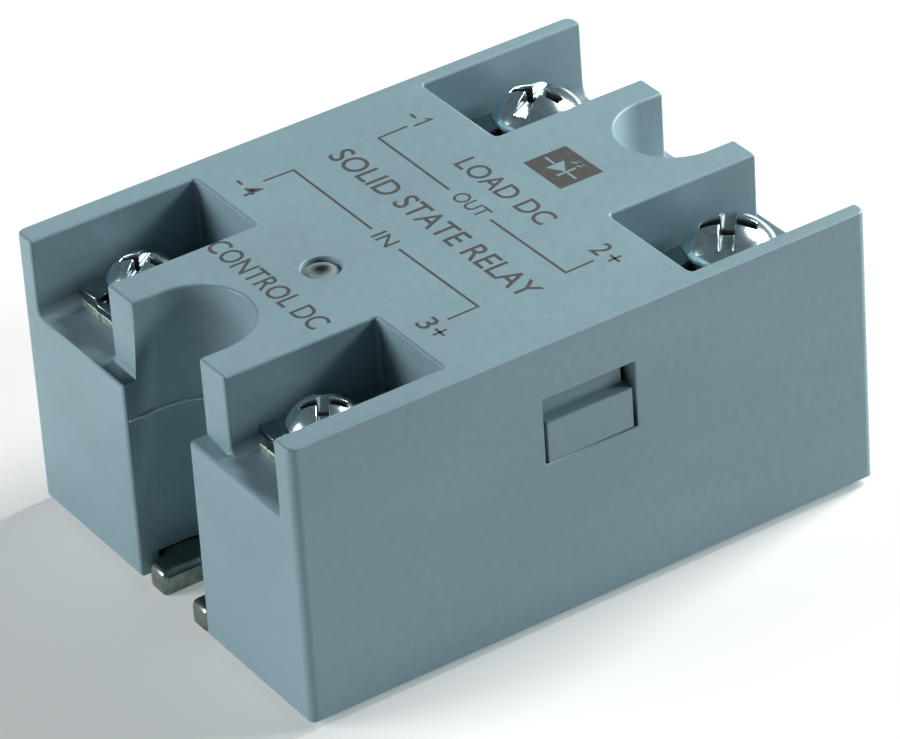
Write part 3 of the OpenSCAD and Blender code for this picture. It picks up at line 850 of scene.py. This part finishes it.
def recess_share(outside, depth):
    """Share of a recess's depth at a distance outside its wall.

    Far inside it is 1. Over the wall it falls in a straight line, and outside the wall a quarter
    circle of the edge radius brings it to 0.
    """
    edge = (EDGE_R - np.sqrt(np.maximum(EDGE_R**2 - (EDGE_R - outside.clip(0, EDGE_R))**2, 0))) / depth
    on_wall = np.interp(outside, [-WALL, 0], [1, EDGE_R / depth])
    return np.where(outside < 0, on_wall, edge)


CLOSEST = 0.012


def crowded(base, walls):
    """Grid lines: the even ones, and a crowd of close ones across each recess wall on both sides."""
    offsets = np.array([-1, -0.66, -0.33, 0]) * WALL
    offsets = np.concatenate([offsets, EDGE_R * np.array([0.04, 0.14, 0.3, 0.55, 0.8, 1.05])])
    extra = np.concatenate([sign * (wall + offsets) for wall in walls for sign in (-1, 1)])
    lines = np.sort(np.concatenate([base, extra]))
    keep = np.concatenate([[True], np.diff(lines) > CLOSEST])
    keep[-1] = True
    return lines[keep]


wall_shares = recess_share(np.array([-WALL, EDGE_R]), SLOT_DEEP)
print("share of the depth at the wall's foot and top:", wall_shares)

# %% Screws
SCREW_TURN = {1: 117, 2: 140, 3: 147, 4: 125}
SHANK_R, PITCH = {1: 2.0, -1: 1.75}, {1: 0.7, -1: 0.6}
THREAD_DEEP, THREAD_START, THREAD_END, THREAD_STEPS = 0.34, 0.25, 0.7, 6
THREAD_CLEAR, THREAD_FADE, THREAD_SLACK = 0.2, 0.6, 0.02
WASHER_ROOM = 0.05


def screw_points(radius, head_h, shank_r, shank_l, pitch, turn_deg):
    """Points and faces of one screw, with the head's underside at height 0.

    The dome's height over a point is the height of a sphere through the rim and the crown. Where a
    recess lies, the height falls towards the recess floor by the share that recess_share gives. The
    rows below it hold the radius and height of the rim, its rounded lower edge, the underside and
    the fillet. The thread's groove is a triangle wave of the height in pitches less the turn.
    """
    quarter = np.sin(np.radians(np.linspace(-90, 90, 41)))
    slot, arm, arm_end = SLOT_W * radius / 2, ARM_W * radius / 2, ARM_L * radius
    b = crowded(quarter * radius, (slot, arm_end)) / radius
    a = crowded(quarter * radius, (arm,)) / radius
    a, b = a.clip(-1, 1), b.clip(-1, 1)
    grid_b, grid_a = np.meshgrid(b, a, indexing="ij")
    u, v = grid_a * np.sqrt(1 - grid_b**2) * radius, grid_b * radius
    ball = ball_radius(radius, head_h - RIM_H)
    height = head_h - ball + np.sqrt(np.maximum(ball**2 - u**2 - v**2, 0))
    slot_share = recess_share(np.abs(v) - slot, SLOT_DEEP)
    arm_share = recess_share(np.maximum(np.abs(grid_a) * radius - arm, np.abs(v) - arm_end), ARM_DEEP)
    drop = np.maximum((height - head_h + SLOT_DEEP).clip(0) * slot_share,
                      (height - head_h + ARM_DEEP).clip(0) * arm_share)
    top = np.stack([u, v, height - drop], -1).reshape(-1, 3)
    faces = [grid_faces(len(b), len(a))]
    phi = np.arcsin(b)
    angle = np.concatenate([phi, (math.pi - phi)[-2:0:-1]])
    rows = [(radius, RIM_H), (radius, 0.25), (radius - 0.1, 0.06), (radius - 0.3, 0.0),
            (shank_r + 0.3, 0.0), (shank_r + 0.05, -0.12)]
    z = np.arange(-THREAD_START, -shank_l + THREAD_END, -pitch / THREAD_STEPS)
    z = z[:, None] * np.ones(len(angle))
    phase = z / pitch - angle / (2 * math.pi)
    fade = ((-z - THREAD_CLEAR) / THREAD_FADE).clip(0, 1)
    groove = np.abs(2 * (phase - np.floor(phase)) - 1)
    thread = shank_r - THREAD_SLACK - THREAD_DEEP * fade * groove
    tip_rows = [(shank_r - 0.35, -shank_l + 0.5), (shank_r - 0.75, -shank_l)]
    head, tip = ([np.stack([r * np.cos(angle), r * np.sin(angle), np.full(len(angle), at)], -1)
                  for r, at in pairs] for pairs in (rows, tip_rows))
    rings = head + list(np.stack([thread * np.cos(angle), thread * np.sin(angle), z], -1)) + tip
    body = np.stack(rings)
    faces.append(grid_faces(len(rings), len(angle), closed=True) + len(top))
    points = np.concatenate([top, body.reshape(-1, 3)])
    cap = list(range(len(points) - len(angle), len(points)))
    spin = math.radians(turn_deg)
    c, s = math.cos(spin), math.sin(spin)
    points = points @ np.array([[c, s, 0], [-s, c, 0], [0, 0, 1]])
    return points, np.concatenate(faces).tolist() + [cap]


for n in TERMINALS:
    end = 1 if n <= 2 else -1
    low, high = box_mm(f"terminal_screw_{n}")
    centre, radius = (low + high)[:2] / 2, (high - low)[0] / 2
    under = box_mm(f"lock_washer_{n}")[1][2] + WASHER_ROOM
    points, faces = screw_points(radius, high[2] - under, SHANK_R[end], under - low[2], PITCH[end],
                                 SCREW_TURN[n])
    ball = ball_radius(radius, high[2] - under - RIM_H)
    plating = screw_plating(f"bright_screw_plating_{n}", (*centre, high[2] - ball), ball, under + RIM_H,
                            SCREW_TURN[n], SLOT_W * radius / 2)
    screw = add_piece(f"screw_{n}_plated", points + [*centre, under], faces, f"screw_{n}",
                      plating, (f"terminal_screw_{n}",))
    weld(screw.data)
    keep_flat(screw)
print("screws of", len(screw.data.polygons), "faces each, radius", round(radius, 2))

# %% [markdown]
# ## The indicator
# A clear lens with a shallow dome stands in a hole in the roof, about flush with the top. One looks
# down through it on to two posts and the little cup with the chip, so a real one is dark in the
# middle and pale at its rim. Here that look is painted into its colour by the distance from its
# axis: painted shade in the middle and a painted pale reflection at the rim. The posts and the cup
# stand inside. Each is a profile turned round its own axis.

# %% Indicator
def turned(profile, centre, steps=64):
    """Points and faces of a profile of (radius, height) pairs that is turned round a centre."""
    profile = np.array(profile, float)
    angle = np.arange(steps) * 2 * math.pi / steps
    points = np.stack([centre[0] + np.outer(profile[:, 0], np.cos(angle)),
                       centre[1] + np.outer(profile[:, 0], np.sin(angle)),
                       profile[:, 1:] * np.ones(steps)], -1)
    return points.reshape(-1, 3), grid_faces(len(profile), steps, closed=True).tolist()


LENS_DOME, LENS_FLANGE, FLANGE_H = 0.4, 0.4, 0.7
# Where the painted shade in the lens gives way to the painted pale reflection, in mm from its axis.
PAINTED_RIM_FROM, PAINTED_RIM_TO = 0.25, 1.45
CUP_DEEP = 3.0


def lens_with_painted_shade():
    """Clear resin with painted shade in the middle that turns to a painted pale reflection as the distance
    from the lens's axis grows.
    """
    finish = Finish("clear_lens_resin")
    haze = finish.noise(0.9, 3)
    level = finish.node("ShaderNodeVectorMath", {"operation": "MULTIPLY"},
                        {0: finish.place, 1: (1.0, 1.0, 0.0)})
    from_axis = finish.node("ShaderNodeVectorMath", {"operation": "DISTANCE"},
                            {0: level, 1: (lens_x * MM, lens_y * MM, 0.0)}, 1) * (1 / MM)
    # Painted shade in the middle of the lens and a painted pale reflection towards its rim.
    painted_rim_reflection = (from_axis + (haze - 0.5) * 0.4).step(PAINTED_RIM_FROM, PAINTED_RIM_TO)
    finish.shade(Base_Color=finish.mix(painted_rim_reflection, (0.008, 0.014, 0.016), (0.36, 0.45, 0.47)),
                 Roughness=0.06 + haze * 0.10, Transmission_Weight=0.25, IOR=1.5,
                 Normal=finish.bump(haze, 0.05, 0.5))
    return finish.material


rim_r, lens_top, lens_foot = (lens_high - lens_low)[0] / 2, lens_high[2], lens_low[2]
lens_r = rim_r - LENS_FLANGE
lens_ball = ball_radius(lens_r, LENS_DOME)
arc = np.linspace(0, math.asin(lens_r / lens_ball), 20)
profile = [(lens_ball * math.sin(t), lens_top - lens_ball + lens_ball * math.cos(t)) for t in arc]
flange = lens_foot + FLANGE_H
profile += [(lens_r, flange + 0.2), (lens_r + 0.3, flange + 0.1), (rim_r, flange),
            (rim_r, lens_foot + 0.08), (rim_r - 0.08, lens_foot), (0, lens_foot)]
points, faces = turned(profile, (lens_x, lens_y))
lens = add_piece("clear_lens", points, faces, "relay_body", lens_with_painted_shade(),
                 ("indicator_lens",))
weld(lens.data)
keep_flat(lens)
cup_z = lens_top - CUP_DEEP
cup = [(0, cup_z + 0.18), (0.28, cup_z + 0.2), (0.5, cup_z + 0.5), (0.6, cup_z + 0.5), (0.6, cup_z),
       (0, cup_z)]
post = [(0, lens_foot + 1.9), (0.2, lens_foot + 1.85), (0.24, lens_foot + 0.05), (0, lens_foot + 0.05)]
inner_shapes = (("lens_cup", cup, 0.0), ("lens_post_a", post, -1.0), ("lens_post_b", post, 1.0))
for name, shape, offset in inner_shapes:
    points, faces = turned(shape, (lens_x + offset, lens_y), 32)
    inner = add_piece(name, points, faces, "relay_body", lead_metal)
    weld(inner.data)
print("lens radius", round(lens_r, 2), "mm, top at", round(lens_top, 2), "mm")

# %% [markdown]
# ## Marking on the top
# The top is marked by a laser, which burns the plastic to a dark grey-brown a few hundredths of a
# millimetre thick. Here are plain words for what the object is, the two ends' functions, the
# terminal numbers with their signs, the brackets that join them, and the general symbol of a light
# emitting diode in a dark field. Each mark is a very thin solid that is sunk into the top.

# %% Marking ink and helpers
ink_finish = Finish("burnt_marking")
burn = ink_finish.noise(0.22, 3, roughness=0.7)
ink_finish.shade(Base_Color=ink_finish.mix(burn.step(0.25, 0.75), (0.048, 0.052, 0.050),
                                           (0.082, 0.088, 0.085)),
                 Roughness=0.62 + burn * 0.15, Specular_IOR_Level=0.3,
                 Normal=ink_finish.bump(burn, 0.01, 0.4))
MARK_TOP, MARK_FOOT, SYMBOL_TOP = top_z - 0.006, top_z - 0.04, top_z - 0.001
LINE_W, SIGN_W, STROKE_WEIGHT = 0.24, 0.26, 0.006


def add_text(name, words, left, right, foot, cap_h):
    """Words as a thin solid, stretched so that they run from left to right and stand cap_h tall.

    Any extruded depth will do at first, because the stretch sets the depth as well.
    """
    curve = bpy.data.curves.new(name, "FONT")
    curve.body = words
    curve.extrude = 0.1
    curve.offset = STROKE_WEIGHT
    curve.resolution_u = 6
    draft = bpy.data.objects.new(name, curve)
    bpy.context.scene.collection.objects.link(draft)
    bpy.context.view_layer.update()
    seen = draft.evaluated_get(bpy.context.evaluated_depsgraph_get())
    mesh = bpy.data.meshes.new_from_object(seen)
    bpy.data.objects.remove(draft)
    mesh.name = name
    points = read(mesh.vertices, "co", 3)
    low, high = points.min(0), points.max(0)
    share = (points - low) / (high - low)
    spread = np.array([right - left, cap_h, MARK_TOP - MARK_FOOT])
    points = share * spread + [left, foot, MARK_FOOT]
    mesh.vertices.foreach_set("co", (points * MM).ravel())
    weld(mesh, 1e-3)
    piece = finish_piece(name, mesh, "relay_body", ink_finish.material)
    mesh.polygons.foreach_set("use_smooth", np.zeros(len(mesh.polygons), bool))
    return piece


def add_flat(name, outlines, material, tops=MARK_TOP):
    """Thin solids from flat outlines: each outline is carried from the marks' foot to their top."""
    points, faces = [], []
    for outline in outlines:
        outline = np.array(outline, float)
        foot, count = len(points), len(outline)
        head = foot + count
        points += [[*p, MARK_FOOT] for p in outline] + [[*p, tops] for p in outline]
        faces += [list(range(foot, head))[::-1], list(range(head, head + count))]
        faces += [[foot + k, foot + (k + 1) % count, head + (k + 1) % count, head + k]
                  for k in range(count)]
    piece = add_piece(name, points, faces, "relay_body", material)
    weld(piece.data)
    piece.data.polygons.foreach_set("use_smooth", np.zeros(len(piece.data.polygons), bool))
    return piece


def stroke(path, width):
    """The outline of a line of even width along a path, with square ends and mitred corners.

    At a corner the two sides' unit normals are added, and the sum is divided by half its square, so
    that it reaches the mitre.
    """
    path = np.array(path, float)
    step = np.diff(path, axis=0)
    step /= np.linalg.norm(step, axis=1, keepdims=True)
    side = np.stack([-step[:, 1], step[:, 0]], -1)
    corner = np.concatenate([side[:1], side[:-1] + side[1:], side[-1:]])
    sides_met = np.concatenate([[1], 2 * np.ones(len(side) - 1), [1]])[:, None]
    corner /= (corner**2).sum(1, keepdims=True) / sides_met
    return np.concatenate([path - corner * width / 2, (path + corner * width / 2)[::-1]])


print("marks run from", round(MARK_FOOT, 3), "to", round(MARK_TOP, 3), "mm up")

# %% Words, numbers and brackets
CAP = {"name": 2.45, "field": 2.2, "side": 1.6, "number": 2.0}
add_text("mark_name", "SOLID STATE RELAY", -15.5, 15.2, -1.65, CAP["name"])
add_text("mark_load", "LOAD DC", -7.1, 6.4, 6.3, CAP["field"])
add_text("mark_control", "CONTROL DC", -9.4, 8.0, -18.35, CAP["field"])
add_text("mark_out", "OUT", -2.6, 1.9, 2.95, CAP["side"])
add_text("mark_in", "IN", -1.55, 0.85, -6.1, CAP["side"])
one = [(-14.8, 7.4), (-14.8, 9.4), (-15.0, 9.4), (-15.42, 9.0), (-15.42, 8.74), (-15.06, 9.02),
       (-15.06, 7.4)]
add_flat("mark_terminal_1", [one], ink_finish.material)
add_text("mark_terminal_2", "2", 12.4, 13.7, 7.3, CAP["number"])
add_text("mark_terminal_3", "3", 12.7, 14.0, -11.0, CAP["number"])
add_text("mark_terminal_4", "4", -15.5, -14.1, -11.0, CAP["number"])
signs = [[(-16.9, 8.3), (-16.0, 8.3)], [(14.3, 8.3), (15.7, 8.3)], [(15.0, 7.6), (15.0, 9.0)],
         [(14.5, -10.0), (15.9, -10.0)], [(15.2, -10.7), (15.2, -9.3)], [(-17.1, -10.1), (-16.2, -10.1)]]
brackets = [[(-15.3, 6.9), (-15.2, 3.75), (-3.7, 3.65)], [(2.8, 3.6), (14.2, 3.7), (14.1, 6.7)],
            [(-15.5, -8.35), (-15.4, -5.2), (-2.5, -5.3)], [(1.8, -5.3), (13.9, -5.2), (13.95, -8.35)]]
add_flat("mark_signs", [stroke(path, SIGN_W) for path in signs], ink_finish.material)
add_flat("mark_brackets", [stroke(path, LINE_W) for path in brackets], ink_finish.material)
print("signs:", len(signs), "strokes, brackets:", len(brackets), "lines")

# %% Diode symbol
FIELD_LEFT, FIELD_RIGHT, FIELD_FOOT, FIELD_HEAD = -3.3, 2.5, 11.3, 15.9
middle_x, middle_y = (FIELD_LEFT + FIELD_RIGHT) / 2, (FIELD_FOOT + FIELD_HEAD) / 2
field = [(FIELD_LEFT, FIELD_FOOT), (FIELD_RIGHT, FIELD_FOOT), (FIELD_RIGHT, FIELD_HEAD),
         (FIELD_LEFT, FIELD_HEAD)]
add_flat("mark_field", [field], ink_finish.material)
bar_x, base_y = middle_x + 0.85, middle_y - 0.25
triangle = np.array([(-0.9, -1.0), (0.75, 0.0), (-0.9, 1.0)]) + [middle_x, base_y]
symbol_parts = [triangle, stroke([(bar_x, base_y - 1.0), (bar_x, base_y + 1.0)], 0.28),
                stroke([(FIELD_LEFT + 0.5, base_y), (middle_x - 0.85, base_y)], LINE_W),
                stroke([(bar_x + 0.1, base_y), (FIELD_RIGHT - 0.5, base_y)], LINE_W)]
for shift in (0.0, 0.8):
    tip = np.array([middle_x + 0.45 + shift, middle_y + 1.75])
    symbol_parts += [stroke([tip - [0.6, 0.75], tip - [0.1, 0.12]], 0.18),
                     np.array([tip, tip + [-0.52, -0.12], tip + [-0.12, -0.52]])]
add_flat("mark_symbol", symbol_parts, housing_plastic, SYMBOL_TOP)

# %% [markdown]
# ## Floor
# A plain pale sheet that the relay stands on. It glows a little, so that the shadow on it stays
# light. It isn't part of the object.

# %% Floor
FLOOR_HALF, FLOOR_Z, FLOOR_GLOW = 3000.0, -0.03, 0.24
floor_finish = Finish("pale_floor")
paper = floor_finish.noise(30, 2)
floor_finish.shade(Base_Color=floor_finish.mix(paper, (0.64, 0.64, 0.64), (0.66, 0.66, 0.66)),
                   Roughness=0.8, Specular_IOR_Level=0.2, Emission_Color=(0.90, 1.0, 1.0),
                   Emission_Strength=FLOOR_GLOW)
floor_mesh = bpy.data.meshes.new("floor")
corners = [(-FLOOR_HALF, -FLOOR_HALF), (FLOOR_HALF, -FLOOR_HALF), (FLOOR_HALF, FLOOR_HALF),
           (-FLOOR_HALF, FLOOR_HALF)]
floor_mesh.from_pydata([(x * MM, y * MM, FLOOR_Z * MM) for x, y in corners], [], [(0, 1, 2, 3)])
floor_mesh.materials.append(floor_finish.material)
floor = bpy.data.objects.new("floor", floor_mesh)
scene.collection.objects.link(floor)
print("floor at", FLOOR_Z, "mm,", 2 * FLOOR_HALF * MM, "m wide")

# %% [markdown]
